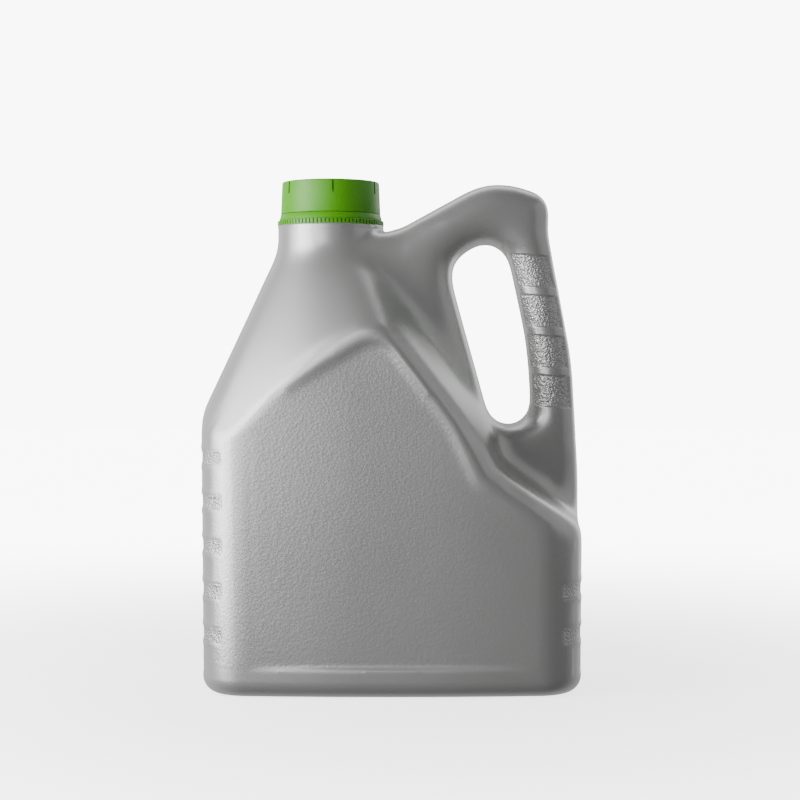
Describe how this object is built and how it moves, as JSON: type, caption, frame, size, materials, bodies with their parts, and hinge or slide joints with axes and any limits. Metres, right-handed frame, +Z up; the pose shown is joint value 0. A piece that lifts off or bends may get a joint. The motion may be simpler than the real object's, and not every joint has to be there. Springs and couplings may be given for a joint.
{
  "type": "degreaser bottle",
  "caption": "Four litre blow-moulded canister with a hollow side grip, a textured label panel and a green tamper-evident screw cap.",
  "frame": {"origin": "centre of the foot, on the surface that the bottle stands on", "axes": "+X to the grip side, +Y away from the viewer of the label panel, +Z up"},
  "size_m": [0.2043, 0.1226, 0.2738],
  "materials": {
    "bottle_plastic": "satin silver-grey polyethylene, fine leather grain on the label panel",
    "cap_plastic": "satin green polyethylene",
    "liner_foam": "white foamed polyethylene"
  },
  "bodies": {
    "bottle": {"bottle": "bottle_plastic", "tamper_band": "cap_plastic"},
    "liner": {"cap_liner": "liner_foam"},
    "cap": {"cap": "cap_plastic"}
  },
  "joints": [
    {"name": "cap_rise", "type": "slide", "parent": "bottle", "child": "liner", "axis": [0, 0, 1], "range_m": [0, 0.02102]},
    {"name": "cap_turn", "type": "hinge", "parent": "liner", "child": "cap", "pos_m": [-0.0338, 0, 0.265], "axis": [0, 0, 1], "range_deg": [0, 1800]}
  ],
  "couplings": [
    {"joint": "cap_rise", "follows": "cap_turn", "m_per_rad": 0.00066845}
  ]
}
